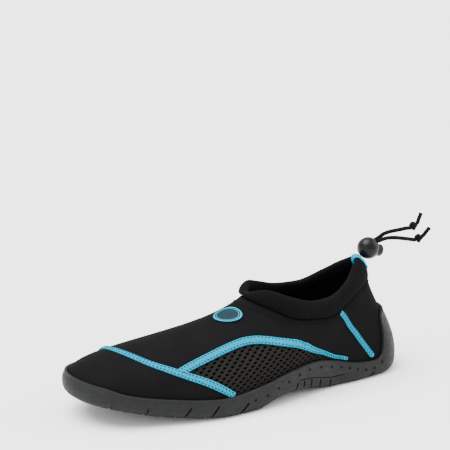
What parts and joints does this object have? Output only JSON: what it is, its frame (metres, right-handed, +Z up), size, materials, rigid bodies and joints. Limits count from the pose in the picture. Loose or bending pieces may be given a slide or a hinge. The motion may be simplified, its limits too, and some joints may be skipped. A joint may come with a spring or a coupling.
{
  "type": "slip-on water shoe",
  "caption": "Left slip-on water shoe: moulded rubber cup sole, stretch upper with mesh windows, padded collar and a cord lock at the heel.",
  "frame": {"origin": "on the floor under the middle of the shoe's outline, seen from above, cord left out", "axes": "+X from toe to heel, +Y towards the inner side of the left foot, +Z up"},
  "size_m": [0.3141, 0.0964, 0.1187],
  "materials": {
    "sole_rubber": "matte, fine grain",
    "upper_fabric": "matte knit over foam",
    "collar_fabric": "matte knit over soft padding",
    "mesh_fabric": "open spacer mesh",
    "webbing": "woven, light sheen",
    "badge_print": "satin print",
    "insole_foam": "matte cloth over foam",
    "toggle_plastic": "polished",
    "cord": "braided"
  },
  "bodies": {
    "shoe": {"badge": "badge_print", "collar_cuff": "collar_fabric", "cord_lower": "cord", "cord_upper": "cord", "heel_loop": "webbing", "insole": "insole_foam", "knot_lower": "cord", "knot_upper": "cord", "mesh_lateral": "mesh_fabric", "mesh_medial": "mesh_fabric", "outsole": "sole_rubber", "tail_lower": "cord", "tail_upper": "cord", "tape_rear_lateral": "webbing", "tape_rear_medial": "webbing", "tape_side_lateral": "webbing", "tape_side_medial": "webbing", "tape_toe": "webbing", "toggle_barrel": "toggle_plastic", "upper": "upper_fabric"},
    "button": {"toggle_button": "toggle_plastic"}
  },
  "joints": [
    {"name": "button_press", "type": "slide", "parent": "shoe", "child": "button", "axis": [-0.96, 0, 0.28], "range_m": [0, 0.003], "stiffness_N_per_m": 300, "springref_m": -0.002}
  ]
}
